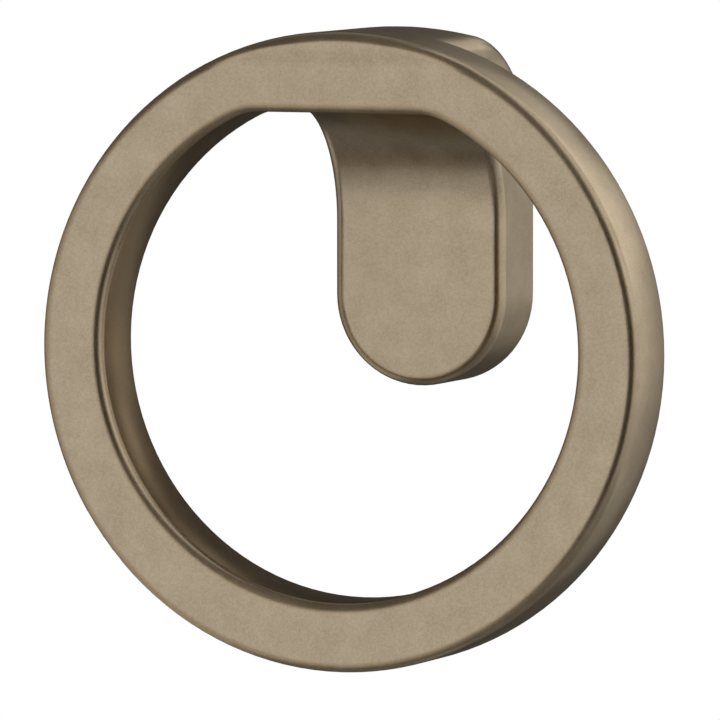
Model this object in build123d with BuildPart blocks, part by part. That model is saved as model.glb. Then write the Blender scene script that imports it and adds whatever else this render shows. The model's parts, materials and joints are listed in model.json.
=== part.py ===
from build123d import *
import math
import os

# Ring-shaped cabinet knob, cast in one piece, in millimetres.
# +Z is up and the front faces -Y. The mounting face lies in the plane Y = 0, and the origin is the centre
# of the screw hole's mouth.

# Sizes of the ring
ring_diameter = 48.0
ring_width = 4.9
ring_depth = 6.5
top_width = 6.1
opening_rise = 0.3
opening_corner = 5.0

# Sizes of the neck and the base
projection = 24.0
base_width = 13.8
base_thickness = 7.2
screw_above_ring_axis = 3.3
neck_outer_bend = 11.5
neck_inner_bend = 9.0

# The edges in view are polished round, most of all along the neck's top, and those at the back are broken
edge_round = 0.85
shoulder_round = 1.8
back_chamfer = 0.6

# Blind screw hole in the back of the base
screw_diameter = 4.0
screw_hole_depth = 5.0
drill_point_angle = 118.0
mouth_chamfer = 0.3

# Places worked out from the sizes
ring_radius = ring_diameter / 2
opening_radius = ring_radius - ring_width
half_width = base_width / 2
screw_radius = screw_diameter / 2
drill_point = screw_radius / math.tan(math.radians(drill_point_angle / 2))
ring_axis_z = -screw_above_ring_axis
opening_axis_z = ring_axis_z + opening_rise
top_z = ring_axis_z + ring_radius
flat_z = top_z - top_width
bend_end_z = top_z - neck_outer_bend
ring_middle_y = ring_depth / 2 - projection

# The arm starts as a skin along its outside, a core behind the skin, and the base, all a little too thick.
# The allowance is as deep as the inside of the bend cuts in at its middle.
carving_allowance = neck_inner_bend * (1 - math.sqrt(0.5))
skin_thickness = 0.5 * neck_outer_bend
core_radius = 0.6 * neck_outer_bend
core_top_z = bend_end_z + core_radius
core_bottom_z = flat_z - carving_allowance
base_stock = base_thickness + carving_allowance

front = Plane.XZ.offset(projection)
bend_start = Plane.XZ.offset(neck_outer_bend)
bend_end = Plane.XY.offset(bend_end_z)

# The ring: a flat band around a round opening that is cut off straight under the neck
with BuildPart() as ring:
    with BuildSketch(front):
        with Locations((0, ring_axis_z)):
            Circle(ring_radius)
    extrude(amount=-ring_depth)
    with BuildSketch(front) as opening:
        with Locations((0, opening_axis_z)):
            Circle(opening_radius)
        with Locations((0, flat_z)):
            Rectangle(ring_diameter, ring_diameter, align=(Align.CENTER, Align.MIN), mode=Mode.SUBTRACT)
        fillet(opening.vertices(), opening_corner)
    extrude(amount=-ring_depth, mode=Mode.SUBTRACT)
    fillet(ring.faces().sort_by(Axis.Y)[0].edges(), edge_round)
    chamfer(ring.faces().sort_by(Axis.Y)[-1].edges(), back_chamfer)

# The skin's section where its bend starts: the top carries on the outside of the ring
with BuildSketch(bend_start) as crowned_section:
    with Locations((0, ring_axis_z)):
        Circle(ring_radius)
    with Locations((0, top_z - skin_thickness)):
        Rectangle(base_width, ring_diameter, align=(Align.CENTER, Align.MIN), mode=Mode.INTERSECT)
    fillet(crowned_section.vertices().group_by(Axis.Y)[-1], shoulder_round)

# The same section where the bend ends: the back is flat, to lie on the cabinet, and has the base's corners
with BuildSketch(bend_end) as flat_section:
    Rectangle(base_width, skin_thickness, align=(Align.CENTER, Align.MAX))
    chamfer(flat_section.vertices().group_by(Axis.Y)[-1], back_chamfer)

# The base: a round-ended plate that hangs down from the bend
with BuildPart() as base:
    with BuildSketch(Plane.XZ):
        Circle(half_width)
        Rectangle(base_width, bend_end_z, align=(Align.CENTER, Align.MIN))
    extrude(amount=base_stock)
    back_rim = base.faces().sort_by(Axis.Y)[-1].edges().sort_by(Axis.Z)[:-1]
    chamfer(back_rim, back_chamfer)

# The arm: a stretch straight out of the ring, the bend and the base, carved inside to one smooth curve
with BuildPart() as arm:
    extrude(crowned_section.sketch, amount=-ring_middle_y - neck_outer_bend)
    with BuildLine(Plane.YZ) as bend:
        CenterArc((-neck_outer_bend, bend_end_z), neck_outer_bend, 90, -90)
    sweep([crowned_section.sketch, flat_section.sketch], path=bend.line, multisection=True)
    with BuildSketch(Plane.YZ) as core:
        with Locations((-neck_outer_bend, bend_end_z)):
            Circle(core_radius)
        with Locations((-neck_outer_bend, core_bottom_z)):
            Rectangle(
                -ring_middle_y - neck_outer_bend,
                core_top_z - core_bottom_z,
                align=(Align.MAX, Align.MIN),
            )
    extrude(amount=half_width, both=True)
    add(base.part)
    with BuildSketch(Plane.YZ) as inside:
        with Locations((-base_thickness, flat_z)):
            Rectangle(2 * projection, 2 * ring_diameter, align=Align.MAX)
        fillet(inside.vertices().group_by(Axis.Y)[-1].sort_by(Axis.X)[-1], neck_inner_bend)
    extrude(amount=base_width, both=True, mode=Mode.SUBTRACT)
    carved_rim = arm.edges(Select.LAST).filter_by(Axis.X, reverse=True)
    fillet(carved_rim, edge_round)

# The screw hole: blind, with a drill point at its end and a chamfered mouth
with BuildPart() as screw_hole:
    with BuildSketch(Plane.YZ):
        with BuildLine():
            Polyline(
                (0, 0),
                (0, screw_radius + mouth_chamfer),
                (-mouth_chamfer, screw_radius),
                (-screw_hole_depth, screw_radius),
                (-screw_hole_depth - drill_point, 0),
                close=True,
            )
        make_face()
    revolve(axis=Axis.Y)

with BuildPart() as knob:
    add(ring.part)
    add(arm.part)
    add(screw_hole.part, mode=Mode.SUBTRACT)

knob.part.label = "knob"
os.makedirs("parts", exist_ok=True)
export_step(knob.part, "parts/knob.step")
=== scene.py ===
# %% [markdown]
# # A ring-shaped cabinet knob
#
# The knob is one zinc die casting: a flat ring, a neck that bends back from its top, and a round-ended base
# with a tapped hole that a screw pulls against the door. The casting is tumbled smooth and plated in a warm
# champagne bronze, with a satin lacquer over it.
#
# The solid comes from the CAD frame in its true size. This script adds what that model leaves out: the
# thread in the hole and, as shading, the slight crown that tumbling leaves on the ring's sides. It then
# gives the metal its finish, and sets up the room, the lamps and the camera.

# %% Load the frame
import json
import math

import bmesh
import bpy
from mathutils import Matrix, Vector


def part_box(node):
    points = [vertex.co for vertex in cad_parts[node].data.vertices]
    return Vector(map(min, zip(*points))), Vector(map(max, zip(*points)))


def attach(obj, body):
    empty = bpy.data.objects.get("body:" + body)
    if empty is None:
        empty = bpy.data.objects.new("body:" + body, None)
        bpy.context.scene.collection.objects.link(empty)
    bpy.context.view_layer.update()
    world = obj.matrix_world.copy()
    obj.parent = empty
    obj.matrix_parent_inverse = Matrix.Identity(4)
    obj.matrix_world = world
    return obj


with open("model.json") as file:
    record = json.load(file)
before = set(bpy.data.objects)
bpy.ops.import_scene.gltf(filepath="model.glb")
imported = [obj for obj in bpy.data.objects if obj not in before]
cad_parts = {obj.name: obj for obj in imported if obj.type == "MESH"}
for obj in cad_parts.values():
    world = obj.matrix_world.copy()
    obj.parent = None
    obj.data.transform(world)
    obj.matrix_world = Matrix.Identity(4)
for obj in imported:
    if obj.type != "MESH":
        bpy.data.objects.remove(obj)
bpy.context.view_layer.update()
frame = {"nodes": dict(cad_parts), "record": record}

MM = 0.001
low, high = (Vector(corner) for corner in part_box("knob"))
ring_radius = (high.x - low.x) / 2
ring_front = Vector((0.0, low.y, (low.z + high.z) / 2))
print("ring", round(2 * ring_radius / MM, 2), "mm across, standing out", round(-low.y / MM, 2), "mm")

# %% [markdown]
# ## Colours
#
# A maker's colour card gives a finish as the eye sees it, in sRGB. The shaders work with linear light, so
# one function turns each hex value into linear red, green and blue.


# %% Turn a hex colour to linear light
def linear(hex_colour):
    channels = [int(hex_colour[i : i + 2], 16) / 255 for i in (1, 3, 5)]
    return tuple(c / 12.92 if c <= 0.04045 else ((c + 0.055) / 1.055) ** 2.4 for c in channels) + (1.0,)


print("champagne bronze in linear light", [round(c, 3) for c in linear("#B4A58E")])

# %% [markdown]
# ## A helper for shader nodes
#
# Every material below is a small network of nodes. One function adds a node, sets its options, and fills
# each input either with a plain value or with a link from another node's output.


# %% Add a node with its settings and links
def add_node(tree, kind, settings=None, inputs=None):
    node = tree.nodes.new(kind)
    for name, value in (settings or {}).items():
        setattr(node, name, value)
    for name, value in (inputs or {}).items():
        if isinstance(value, bpy.types.NodeSocket):
            tree.links.new(value, node.inputs[name])
        else:
            node.inputs[name].default_value = value
    return node


def new_material(name):
    material = bpy.data.materials.new(name)
    material.use_nodes = True
    material.node_tree.nodes.clear()
    return material


# %% [markdown]
# ## Champagne bronze plating
#
# Plated metal is a conductor, so it is fully metallic and keeps the default index of refraction, and its
# colour is the tint of its reflections. One flat colour would do from across a kitchen, but close up the
# finish changes over the knob, and two steps below also paint shade into the colour. So the material is
# built up in steps, and each step knows where on the knob it is, in millimetres and in the part's own
# directions.

# %% Start the material
RING_DEPTH = 6.5  # mm, front to back
OPENING_RADIUS = 19.1  # mm
OPENING_RISE = 0.3  # mm, from the ring's axis to the opening's
EDGE_ROUND = 0.85  # mm, the ring's front edges

front_y = low.y / MM
ring_back_y = front_y + RING_DEPTH
axis_z = ring_front.z / MM

bronze = new_material("satin_champagne_bronze")
metal_tree = bronze.node_tree
surface = add_node(metal_tree, "ShaderNodeNewGeometry")
coordinates = add_node(metal_tree, "ShaderNodeTexCoord")
where = add_node(
    metal_tree,
    "ShaderNodeVectorMath",
    {"operation": "SCALE"},
    {"Vector": coordinates.outputs["Object"], "Scale": 1 / MM},
).outputs["Vector"]
place = add_node(metal_tree, "ShaderNodeSeparateXYZ", inputs={"Vector": where})
print("ring from y", round(front_y, 2), "to", round(ring_back_y, 2), "mm, axis at z", round(axis_z, 2), "mm")

# %% [markdown]
# ## Mottled lacquer
#
# Tumbling leaves a very fine grain, and the lacquer lies on it a little unevenly, so the flat faces look
# softly mottled rather than mirror smooth. A scan of the finish could carry that, but noise needs no
# picture and no unwrapping. The same mottling drives the colour and the roughness, because where the
# lacquer is thicker the metal is both paler and duller.

# %% Mottle the lacquer
BLOTCH = 2.4  # mm, a patch of thicker or thinner lacquer
GRAIN = 0.14  # mm, the tumbled grain, drawn about twice as coarse as it is so that it shows
GRAIN_SHARE = 0.6  # the grain's part in the mottling, and the blotches have the rest
THIN_LACQUER = (0.33, "#9A8A73")  # the mottling's value, and the colour there
THICK_LACQUER = (0.67, "#B4A58E")
MOTTLING_SPAN = (0.3, 0.7)  # the values between which nearly all of the mottling lies
ROUGHNESS = (0.29, 0.34)  # under thin and under thick lacquer

blotches = add_node(
    metal_tree,
    "ShaderNodeTexNoise",
    inputs={"Vector": where, "Scale": 1 / BLOTCH, "Detail": 3.0, "Roughness": 0.6},
)
grain = add_node(
    metal_tree,
    "ShaderNodeTexNoise",
    inputs={"Vector": where, "Scale": 1 / GRAIN, "Detail": 2.0, "Roughness": 0.7},
)
mottling = add_node(
    metal_tree,
    "ShaderNodeMix",
    {"data_type": "FLOAT"},
    {"Factor": GRAIN_SHARE, "A": blotches.outputs["Fac"], "B": grain.outputs["Fac"]},
).outputs["Result"]
colour = add_node(metal_tree, "ShaderNodeValToRGB", inputs={"Fac": mottling})
for stop, (position, tone) in zip(colour.color_ramp.elements, (THIN_LACQUER, THICK_LACQUER)):
    stop.position = position
    stop.color = linear(tone)
roughness = add_node(
    metal_tree,
    "ShaderNodeMapRange",
    inputs={
        "Value": mottling,
        "From Min": MOTTLING_SPAN[0],
        "From Max": MOTTLING_SPAN[1],
        "To Min": ROUGHNESS[0],
        "To Max": ROUGHNESS[1],
    },
)
print("mottling from", THIN_LACQUER[1], "to", THICK_LACQUER[1], "and roughness", *ROUGHNESS)

# %% [markdown]
# ## Crowned sides
#
# Tumbling wears the edges of the ring's sides more than their middle, so the sides are very slightly
# barrelled, and the light falls off across them. The solid could have that form, but it would cost
# thousands of triangles for a curve too slight to see in the outline. So a bump follows the same arc. It
# fades out at the top, where the neck carries on the ring's outside and runs straight back.

# %% Crown the sides
CROWN_RADIUS = 17.0  # mm, the arc across the ring's depth
NECK_FADE = (0.12, 0.04)  # ring radii below the top, where the crown starts to fade and where it has gone

from_middle = add_node(
    metal_tree,
    "ShaderNodeMath",
    {"operation": "SUBTRACT"},
    {0: place.outputs["Y"], 1: front_y + RING_DEPTH / 2},
)
on_side = add_node(
    metal_tree,
    "ShaderNodeClamp",
    inputs={"Value": from_middle.outputs["Value"], "Min": -RING_DEPTH / 2, "Max": RING_DEPTH / 2},
)
squared = add_node(
    metal_tree, "ShaderNodeMath", {"operation": "POWER"}, {0: on_side.outputs["Result"], 1: 2.0}
)
fade_from, fade_to = ((high.z - share * ring_radius) / MM for share in NECK_FADE)
bend = add_node(
    metal_tree,
    "ShaderNodeMapRange",
    {"interpolation_type": "SMOOTHSTEP"},
    {
        "Value": place.outputs["Z"],
        "From Min": fade_from,
        "From Max": fade_to,
        "To Min": -0.5 / CROWN_RADIUS,
        "To Max": 0.0,
    },
)
crown_height = add_node(
    metal_tree,
    "ShaderNodeMath",
    {"operation": "MULTIPLY"},
    {0: squared.outputs["Value"], 1: bend.outputs["Result"]},
).outputs["Value"]
print("crown", round((RING_DEPTH / 2) ** 2 / (2 * CROWN_RADIUS), 2), "mm high")

# %% [markdown]
# ## Rounded front edges
#
# The ring's front edges are polished round, and the dark line along them is what tells the eye so. The
# solid's facets are fine enough for the outline, but the directions that are blended between them leave
# that line ragged, and a finer mesh would be a costly cure. Each edge is part of a torus, so its exact
# direction is easy to work out: straight away from the circle that runs inside the edge.

# %% Follow the rounded edges
OPENING_ROUND_TOP = 16.5  # mm above the opening's axis, just under the corners of its straight top


def follow_round(normal, rise, circle_radius, side, top):
    """Put one edge's exact direction into the normal, on the given side of its circle and below the top."""
    circle_centre = (0.0, front_y + EDGE_ROUND, axis_z + rise)
    offset = add_node(
        metal_tree, "ShaderNodeVectorMath", {"operation": "SUBTRACT"}, {0: where, 1: circle_centre}
    ).outputs["Vector"]
    parts = add_node(metal_tree, "ShaderNodeSeparateXYZ", inputs={"Vector": offset})
    spoke = add_node(
        metal_tree, "ShaderNodeCombineXYZ", inputs={"X": parts.outputs["X"], "Z": parts.outputs["Z"]}
    ).outputs["Vector"]
    reach = add_node(metal_tree, "ShaderNodeVectorMath", {"operation": "LENGTH"}, {0: spoke})
    way_out = add_node(metal_tree, "ShaderNodeVectorMath", {"operation": "NORMALIZE"}, {0: spoke})
    nearest = add_node(
        metal_tree,
        "ShaderNodeVectorMath",
        {"operation": "SCALE"},
        {"Vector": way_out.outputs["Vector"], "Scale": circle_radius},
    )
    away = add_node(
        metal_tree,
        "ShaderNodeVectorMath",
        {"operation": "SUBTRACT"},
        {0: offset, 1: nearest.outputs["Vector"]},
    )
    exact = add_node(
        metal_tree,
        "ShaderNodeVectorTransform",
        {"vector_type": "NORMAL", "convert_from": "OBJECT", "convert_to": "WORLD"},
        {"Vector": away.outputs["Vector"]},
    )
    on_edge = 1.0
    for measure, comparison, limit in (
        (reach.outputs["Value"], side, circle_radius),
        (parts.outputs["Y"], "LESS_THAN", 0.0),
        (parts.outputs["Z"], "LESS_THAN", top),
    ):
        passes = add_node(metal_tree, "ShaderNodeMath", {"operation": comparison}, {0: measure, 1: limit})
        on_edge = add_node(
            metal_tree, "ShaderNodeMath", {"operation": "MULTIPLY"}, {0: on_edge, 1: passes.outputs["Value"]}
        ).outputs["Value"]
    return add_node(
        metal_tree,
        "ShaderNodeMix",
        {"data_type": "VECTOR"},
        {"Factor": on_edge, "A": normal, "B": exact.outputs["Vector"]},
    ).outputs["Result"]


radius_in_mm = ring_radius / MM
outer_round = follow_round(
    surface.outputs["Normal"], 0.0, radius_in_mm - EDGE_ROUND, "GREATER_THAN", 2 * radius_in_mm
)
edge_normal = follow_round(
    outer_round, OPENING_RISE, OPENING_RADIUS + EDGE_ROUND, "LESS_THAN", OPENING_ROUND_TOP
)
print("edges rounded at", EDGE_ROUND, "mm")

# %% [markdown]
# ## Painted shade on the edges
#
# The rounded edges are tinted a little darker and browner in the colour, a painted shade that deepens the
# dark line which the flags' reflection draws along them. That could be painted on by hand, but the surface's
# own direction finds the edges: they are where it has just turned away from the front or the back. The
# neck's bend turns in the same way over a long stretch, so the neck is left out.

# %% Paint shade along the edges
# painted shade: the rounded edges are tinted darker and browner, deepening the dark reflected line along
# them
EDGE_PAINTED_SHADE = "#FFF9EF"
EDGE_BEGINS = (0.999, 0.96)  # how squarely a surface faces the front or back, from 2.6 to 16 degrees off it
EDGE_ENDS = (0.75, 0.5)  # the same, from 41 to 60 degrees off
NECK_FROM = (3.0, 5.0)  # mm, the heights over which the base ends and the neck takes over

facing = add_node(metal_tree, "ShaderNodeVectorMath", {"operation": "NORMALIZE"}, {0: edge_normal})
facing_parts = add_node(metal_tree, "ShaderNodeSeparateXYZ", inputs={"Vector": facing.outputs["Vector"]})
squareness = add_node(
    metal_tree, "ShaderNodeMath", {"operation": "ABSOLUTE"}, {0: facing_parts.outputs["Y"]}
).outputs["Value"]
turned_away = add_node(
    metal_tree,
    "ShaderNodeMapRange",
    {"interpolation_type": "SMOOTHSTEP"},
    {
        "Value": squareness,
        "From Min": EDGE_BEGINS[1],
        "From Max": EDGE_BEGINS[0],
        "To Min": 1.0,
        "To Max": 0.0,
    },
)
not_yet_side = add_node(
    metal_tree,
    "ShaderNodeMapRange",
    {"interpolation_type": "SMOOTHSTEP"},
    {"Value": squareness, "From Min": EDGE_ENDS[1], "From Max": EDGE_ENDS[0]},
)
behind_ring = add_node(
    metal_tree, "ShaderNodeMath", {"operation": "GREATER_THAN"}, {0: place.outputs["Y"], 1: ring_back_y}
)
below_neck = add_node(
    metal_tree,
    "ShaderNodeMapRange",
    inputs={
        "Value": place.outputs["Z"],
        "From Min": NECK_FROM[0],
        "From Max": NECK_FROM[1],
        "To Min": 1.0,
        "To Max": 0.0,
    },
)
off_neck = add_node(
    metal_tree,
    "ShaderNodeMix",
    {"data_type": "FLOAT"},
    {"Factor": behind_ring.outputs["Value"], "A": 1.0, "B": below_neck.outputs["Result"]},
)
along_edge = add_node(
    metal_tree,
    "ShaderNodeMath",
    {"operation": "MULTIPLY"},
    {0: turned_away.outputs["Result"], 1: not_yet_side.outputs["Result"]},
)
edges = add_node(
    metal_tree,
    "ShaderNodeMath",
    {"operation": "MULTIPLY"},
    {0: along_edge.outputs["Value"], 1: off_neck.outputs["Result"]},
)
edge_colour = add_node(
    metal_tree,
    "ShaderNodeMix",
    {"data_type": "RGBA", "blend_type": "MULTIPLY"},
    {"Factor": edges.outputs["Value"], "A": colour.outputs["Color"], "B": linear(EDGE_PAINTED_SHADE)},
)
print("edge shade", EDGE_PAINTED_SHADE)

# %% [markdown]
# ## Painted shade on the opening's wall
#
# The wall of the opening is tinted darker and browner in the colour, a painted shade for the dimmer light
# that reaches inside the ring. It could have a second material on its own faces, but a mask by the distance
# from the opening's axis lets the change run softly over the rounded edge.

# %% Paint shade on the opening's wall
# painted shade: the opening's wall is darkened and browned for the dimmer light inside the ring
OPENING_PAINTED_SHADE = "#DBCEBD"
WALL_FADE = 0.5  # mm over which the mask runs out, into the ring and behind it
FACE_FADE = (0.3, 1.0)  # mm behind the front face, where the wall's shade begins and where it is full

height = add_node(
    metal_tree,
    "ShaderNodeMath",
    {"operation": "SUBTRACT"},
    {0: place.outputs["Z"], 1: axis_z + OPENING_RISE},
)
from_axis = add_node(
    metal_tree, "ShaderNodeCombineXYZ", inputs={"X": place.outputs["X"], "Y": height.outputs["Value"]}
)
distance = add_node(
    metal_tree, "ShaderNodeVectorMath", {"operation": "LENGTH"}, {0: from_axis.outputs["Vector"]}
)
near_wall = add_node(
    metal_tree,
    "ShaderNodeMapRange",
    {"interpolation_type": "SMOOTHSTEP"},
    {
        "Value": distance.outputs["Value"],
        "From Min": OPENING_RADIUS,
        "From Max": OPENING_RADIUS + WALL_FADE,
        "To Min": 1.0,
        "To Max": 0.0,
    },
)
in_ring = add_node(
    metal_tree,
    "ShaderNodeMapRange",
    inputs={
        "Value": place.outputs["Y"],
        "From Min": ring_back_y,
        "From Max": ring_back_y + WALL_FADE,
        "To Min": 1.0,
        "To Max": 0.0,
    },
)
behind_face = add_node(
    metal_tree,
    "ShaderNodeMapRange",
    {"interpolation_type": "SMOOTHSTEP"},
    {
        "Value": place.outputs["Y"],
        "From Min": front_y + FACE_FADE[0],
        "From Max": front_y + FACE_FADE[1],
    },
)
wall_in_ring = add_node(
    metal_tree,
    "ShaderNodeMath",
    {"operation": "MULTIPLY"},
    {0: near_wall.outputs["Result"], 1: in_ring.outputs["Result"]},
)
wall = add_node(
    metal_tree,
    "ShaderNodeMath",
    {"operation": "MULTIPLY"},
    {0: wall_in_ring.outputs["Value"], 1: behind_face.outputs["Result"]},
)
metal_colour = add_node(
    metal_tree,
    "ShaderNodeMix",
    {"data_type": "RGBA", "blend_type": "MULTIPLY"},
    {"Factor": wall.outputs["Value"], "A": edge_colour.outputs["Result"], "B": linear(OPENING_PAINTED_SHADE)},
)
print("wall shade", OPENING_PAINTED_SHADE)

# %% [markdown]
# ## Scratches, and the metal itself
#
# The tumbling stones leave scratches that are finer than any pixel. They could be left to the roughness
# alone, but a trace of them as relief breaks up the reflections as a real satin finish does. The crown and
# the scratches then go into one metal shader, which the knob and the thread share, since they are one
# casting.

# %% Put the metal together
SCRATCH = 0.12  # mm, the finest texture of the stones, drawn coarser than it is so that it shows
SCRATCH_DEPTH = 0.02 * MM
SCRATCH_STRENGTH = 0.18
GRAZING_TINT = "#FFF8EA"  # the lacquered bronze keeps its warmth at a glancing angle

scratches = add_node(
    metal_tree,
    "ShaderNodeTexNoise",
    inputs={"Vector": where, "Scale": 1 / SCRATCH, "Detail": 1.0},
)
crowned = add_node(
    metal_tree,
    "ShaderNodeBump",
    inputs={"Height": crown_height, "Strength": 1.0, "Distance": MM, "Normal": edge_normal},
)
scratched = add_node(
    metal_tree,
    "ShaderNodeBump",
    inputs={
        "Height": scratches.outputs["Fac"],
        "Strength": SCRATCH_STRENGTH,
        "Distance": SCRATCH_DEPTH,
        "Normal": crowned.outputs["Normal"],
    },
)
metal = add_node(
    metal_tree,
    "ShaderNodeBsdfPrincipled",
    inputs={
        "Base Color": metal_colour.outputs["Result"],
        "Metallic": 1.0,
        "Roughness": roughness.outputs["Result"],
        "Specular Tint": linear(GRAZING_TINT),
        "Normal": scratched.outputs["Normal"],
    },
)
add_node(metal_tree, "ShaderNodeOutputMaterial", inputs={"Surface": metal.outputs["BSDF"]})
knob = frame["nodes"]["knob"]
knob.data.materials.clear()
knob.data.materials.append(bronze)
print("finish", bronze.name, "with", len(metal_tree.nodes), "nodes")

# %% [markdown]
# ## The thread in the hole
#
# The hole takes a standard M4 machine screw, whose thread climbs 0.7 mm a turn. A tap cuts it as one
# triangular ridge that winds along the wall. It could be a screw modifier on a profile, but a bare loop
# over the angle lets the ridge fade in at the mouth and out at the end, as the tap's taper leaves it.

# %% Wind the thread
THREAD_PITCH = 0.7 * MM
THREAD_DEPTH = 0.35 * MM
THREAD_FOOT = 0.03 * MM  # how far the ridge's foot is let into the wall, so that no gap shows
THREAD_START = 0.5 * MM  # behind the mouth, past its chamfer
THREAD_RUN_OUT = 0.1 * MM  # past the length that the screw can use
FOOT_SHARE, CREST_SHARE = 0.44, 0.0625  # half the ridge's width at its foot and its crest, in pitches
FADE_TURNS = 0.5
THINNEST = 0.02  # of the full ridge, at its two ends
STEPS_PER_TURN = 40


def thread_ridge(name, radius, start_y, end_y):
    mesh = bmesh.new()
    turns = (start_y - end_y) / THREAD_PITCH
    rows = []
    for step in range(int(turns * STEPS_PER_TURN) + 1):
        turn = step / STEPS_PER_TURN
        angle = 2 * math.pi * turn
        fade = max(THINNEST, min(1.0, turn / FADE_TURNS, (turns - turn) / FADE_TURNS))
        y = start_y - turn * THREAD_PITCH
        half_foot, half_crest = (share * THREAD_PITCH * fade for share in (FOOT_SHARE, CREST_SHARE))
        crest = radius - THREAD_DEPTH * fade
        foot = radius + THREAD_FOOT
        section = [(foot, half_foot), (crest, half_crest), (crest, -half_crest), (foot, -half_foot)]
        rows.append(
            [
                mesh.verts.new((reach * math.cos(angle), y + along, reach * math.sin(angle)))
                for reach, along in section
            ]
        )
    for one, two in zip(rows, rows[1:]):
        for i in range(4):
            mesh.faces.new((one[i], one[(i + 1) % 4], two[(i + 1) % 4], two[i]))
    mesh.faces.new(rows[0][::-1])
    mesh.faces.new(rows[-1])
    bmesh.ops.recalc_face_normals(mesh, faces=mesh.faces)
    data = bpy.data.meshes.new(name)
    mesh.to_mesh(data)
    mesh.free()
    piece = bpy.data.objects.new(name, data)
    bpy.context.scene.collection.objects.link(piece)
    piece.data.materials.append(bronze)
    return piece


screw_hole = next(m for m in frame["record"]["mounts"] if m["name"] == "screw_hole")
hole_radius = screw_hole["dims"]["r_mm"] * MM
hole_length = screw_hole["dims"]["length_mm"] * MM
thread = thread_ridge("screw_thread", hole_radius, -THREAD_START, -hole_length - THREAD_RUN_OUT)
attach(thread, "root")
print("thread", len(thread.data.polygons), "faces")

# %% [markdown]
# ## Floor and room
#
# The knob hangs in the air as it would on a door, inside a white room with a plain white floor far below
# it. The lamps could be turned up until the room clips to white, but that would bleach the metal too. So
# the room sends its white only to rays that see it straight or in a reflection, and lights the floor far
# less. The floor keeps some of its own shading, and with it the knob's faint shadow. It lies lower than the
# flags reach, so that it hides none of them.

# %% Lay the floor and close the room
FLOOR_DROP = 430 * MM  # below the ring
FLOOR_HALF = 3.0  # m
FLOOR_GLOW = 0.62  # what the floor adds to its own light to be seen as white
ROOM_LIGHT = 0.5  # the room's light on the floor, where a strength of 1 is white


def shown_rays(tree):
    """1 for the rays that show a backdrop as it is: seen straight, mirrored or through glass."""
    rays = add_node(tree, "ShaderNodeLightPath")
    mirrored = add_node(
        tree,
        "ShaderNodeMath",
        {"operation": "MAXIMUM"},
        {0: rays.outputs["Is Glossy Ray"], 1: rays.outputs["Is Transmission Ray"]},
    )
    shown = add_node(
        tree,
        "ShaderNodeMath",
        {"operation": "MAXIMUM"},
        {0: rays.outputs["Is Camera Ray"], 1: mirrored.outputs["Value"]},
    )
    return shown.outputs["Value"]


def white_floor():
    material = new_material("white_floor")
    material.cycles.emission_sampling = "NONE"
    tree = material.node_tree
    paper = add_node(tree, "ShaderNodeBsdfDiffuse", inputs={"Color": linear("#E6E6E6")})
    lift = add_node(
        tree, "ShaderNodeMath", {"operation": "MULTIPLY"}, {0: shown_rays(tree), 1: FLOOR_GLOW}
    )
    glow = add_node(
        tree, "ShaderNodeEmission", inputs={"Color": linear("#FFFFFF"), "Strength": lift.outputs["Value"]}
    )
    both = add_node(
        tree, "ShaderNodeAddShader", inputs={0: paper.outputs["BSDF"], 1: glow.outputs["Emission"]}
    )
    add_node(tree, "ShaderNodeOutputMaterial", inputs={"Surface": both.outputs["Shader"]})
    return material


def white_room():
    room = bpy.data.worlds.new("white_room")
    room.use_nodes = True
    room.cycles.sampling_method = "NONE"
    tree = room.node_tree
    tree.nodes.clear()
    white = linear("#FFFFFF")
    dim = add_node(tree, "ShaderNodeBackground", inputs={"Color": white, "Strength": ROOM_LIGHT})
    full = add_node(tree, "ShaderNodeBackground", inputs={"Color": white, "Strength": 1.0})
    either = add_node(
        tree,
        "ShaderNodeMixShader",
        inputs={0: shown_rays(tree), 1: dim.outputs["Background"], 2: full.outputs["Background"]},
    )
    add_node(tree, "ShaderNodeOutputWorld", inputs={"Surface": either.outputs["Shader"]})
    return room


floor_mesh = bpy.data.meshes.new("floor")
floor_z = low.z - FLOOR_DROP
corners = [(-1, -1), (1, -1), (1, 1), (-1, 1)]
floor_mesh.from_pydata([(x * FLOOR_HALF, y * FLOOR_HALF, floor_z) for x, y in corners], [], [(0, 1, 2, 3)])
floor = bpy.data.objects.new("floor", floor_mesh)
bpy.context.scene.collection.objects.link(floor)
floor.data.materials.append(white_floor())
bpy.context.scene.world = white_room()
bpy.context.scene.view_settings.view_transform = "Standard"
print("floor", round(-floor_z / MM), "mm below the screw hole")

# %% [markdown]
# ## Flags
#
# A metal has no shade of its own. It shows the room, and in an even white room a ring looks like flat
# paper. A photographer hangs black and grey cards round it, called flags, and their reflections draw its
# form: a dark line along each rounded edge, a dark crescent over the top, and sides that fall off towards
# the back. Each flag here is a patch of a sphere round the knob, between two compass directions and two
# heights, because that is how a small object sees the room. Azimuth 0 is straight in front of the knob and
# 90 is on its right. One small card hangs close behind, where only the lower left of the opening's wall
# mirrors it.

# %% Hang the flags
FLAG_DISTANCE = 400 * MM
NEAR_DISTANCE = 110 * MM
FLAG_STEP = 6  # degrees between a flag's grid lines, fine enough to look curved

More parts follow.
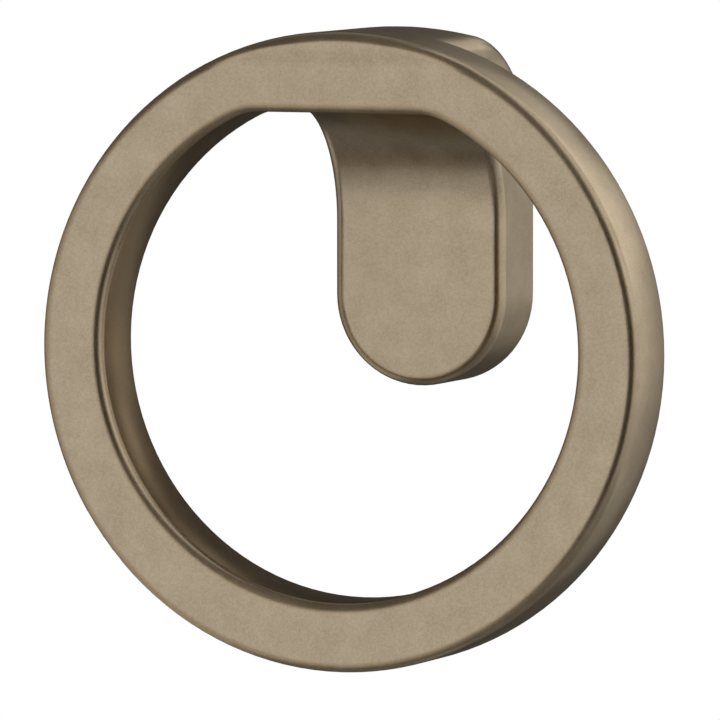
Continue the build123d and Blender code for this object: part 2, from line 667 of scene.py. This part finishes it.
# Each flag's azimuths and elevations in degrees, and its grey, where 1 is as white as the room
FLAGS = {
    "flag_camera_side": ((4, 50), (-30, 20), 0.02),
    "flag_camera_high": ((-8, 46), (20, 64), 0.2),
    "flag_camera_edge": ((50, 66), (-30, 12), 0.85),
    "flag_lower_right": ((66, 150), (-30, -10), 0.7),
    "flag_back_low": ((150, 174), (-30, -7), 0.38),
    "flag_back": ((153, 172), (-7, 8), 0.5),
    "flag_back_left": ((172, 236), (-52, 8), 0.06),
    "flag_back_high": ((166, 184), (8, 42), 0.75),
    "flag_back_left_high": ((184, 196), (8, 42), 0.2),
    "flag_left_back_high": ((196, 240), (8, 42), 0.06),
    "flag_back_top": ((160, 236), (42, 64), 0.4),
    "flag_left_back": ((236, 254), (-30, 20), 0.15),
    "flag_left": ((254, 272), (-30, 20), 0.37),
    "flag_left_front": ((272, 292), (-30, 20), 0.6),
    "flag_front_left": ((292, 320), (-30, 20), 0.82),
    "flag_upper_left": ((236, 348), (20, 64), 0.17),
    "flag_top": ((170, 410), (64, 86), 0.2),
    "flag_low_right": ((-8, 172), (-52, -30), 0.3),
    "flag_low_left": ((236, 352), (-52, -30), 0.7),
    "flag_below": ((0, 360), (-86, -52), 0.22),
}


def direction(azimuth, elevation):
    turn, lift = math.radians(azimuth), math.radians(elevation)
    return Vector((math.sin(turn) * math.cos(lift), -math.cos(turn) * math.cos(lift), math.sin(lift)))


def spread(limits):
    """Evenly spaced angles from one limit to the other, about a step apart."""
    start, end = limits
    gaps = max(1, round((end - start) / FLAG_STEP))
    return [start + (end - start) * i / gaps for i in range(gaps + 1)]


def flag(name, azimuths, elevations, grey, distance=FLAG_DISTANCE):
    across, upward = spread(azimuths), spread(elevations)
    points = [
        ring_front + distance * direction(azimuth, elevation) for elevation in upward for azimuth in across
    ]
    row = len(across)
    faces = [
        (j * row + i, j * row + i + 1, (j + 1) * row + i + 1, (j + 1) * row + i)
        for j in range(len(upward) - 1)
        for i in range(row - 1)
    ]
    mesh = bpy.data.meshes.new(name)
    mesh.from_pydata(points, [], faces)
    material = new_material(name + "_card")
    material.cycles.emission_sampling = "NONE"
    card = add_node(
        material.node_tree, "ShaderNodeEmission", inputs={"Color": linear("#FFFFFF"), "Strength": grey}
    )
    add_node(material.node_tree, "ShaderNodeOutputMaterial", inputs={"Surface": card.outputs["Emission"]})
    mesh.materials.append(material)
    card_object = bpy.data.objects.new(name, mesh)
    bpy.context.scene.collection.objects.link(card_object)
    card_object.visible_camera = False
    card_object.visible_diffuse = False
    card_object.visible_shadow = False


for name, (azimuths, elevations, grey) in FLAGS.items():
    flag(name, azimuths, elevations, grey)
flag("flag_near_back", (169, 202), (3, 24), 0.05, NEAR_DISTANCE)
print("flags", len(FLAGS) + 1)

# %% [markdown]
# ## Lamps
#
# Three soft lamps lift the room where the photograph is brightest: one to the front left, which the flat
# faces mirror, one high behind on the right, which runs along the ring's sides, and one on the right, which
# catches the rounded edges. A large panel is softer than a small one, so they are 0.3 to 0.7 m wide and a
# metre away.

# %% Hang the lamps
LAMP_DISTANCE = 1.0  # m

# Each lamp's azimuth and elevation in degrees, its width in m and its power in W
LAMPS = {
    "lamp_front_left": (-20, -2, 0.3, 0.04),
    "lamp_back_right": (138, 30, 0.7, 0.75),
    "lamp_right": (72, 20, 0.4, 0.2),
}


def soft_lamp(name, azimuth, elevation, width, watts):
    lamp = bpy.data.lights.new(name, "AREA")
    lamp.shape = "SQUARE"
    lamp.size = width
    lamp.energy = watts
    panel = bpy.data.objects.new(name, lamp)
    way = direction(azimuth, elevation)
    panel.location = ring_front + LAMP_DISTANCE * way
    panel.rotation_euler = way.to_track_quat("Z", "Y").to_euler()
    bpy.context.scene.collection.objects.link(panel)


for name, setting in LAMPS.items():
    soft_lamp(name, *setting)
print("lamps", len(LAMPS))

# %% [markdown]
# ## Camera
#
# The photograph looks from a little right and a little above, through a long lens. The ring's front centre
# lies slightly left of the middle of the picture and slightly above it, so the camera is moved sideways by
# the matching amount and keeps its direction.

# %% Place the camera
PICTURE = 720  # pixels
SENSOR = 36.0  # mm
CAMERA_AZIMUTH = math.radians(21.85)
CAMERA_ELEVATION = math.radians(4.0)
CAMERA_DISTANCE = 30 * ring_radius
RADIUS_IN_PICTURE = 321.5  # pixels that the ring's radius spans at its front
CENTRE_RIGHT = -24.9  # pixels from the middle of the picture
CENTRE_UP = 6.8

sin_a, cos_a = math.sin(CAMERA_AZIMUTH), math.cos(CAMERA_AZIMUTH)
sin_e, cos_e = math.sin(CAMERA_ELEVATION), math.cos(CAMERA_ELEVATION)
look = Vector((-sin_a * cos_e, cos_a * cos_e, -sin_e))
right = Vector((cos_a, sin_a, 0.0))
up = right.cross(look)
pixel = ring_radius / RADIUS_IN_PICTURE
camera_data = bpy.data.cameras.new("camera")
camera_data.sensor_width = SENSOR
camera_data.lens = SENSOR * RADIUS_IN_PICTURE * CAMERA_DISTANCE / ring_radius / PICTURE
camera = bpy.data.objects.new("camera", camera_data)
camera.location = ring_front - CAMERA_DISTANCE * look - CENTRE_RIGHT * pixel * right - CENTRE_UP * pixel * up
camera.rotation_euler = (-look).to_track_quat("Z", "Y").to_euler()
bpy.context.scene.collection.objects.link(camera)
bpy.context.scene.camera = camera
print("lens", round(camera_data.lens, 1), "mm")
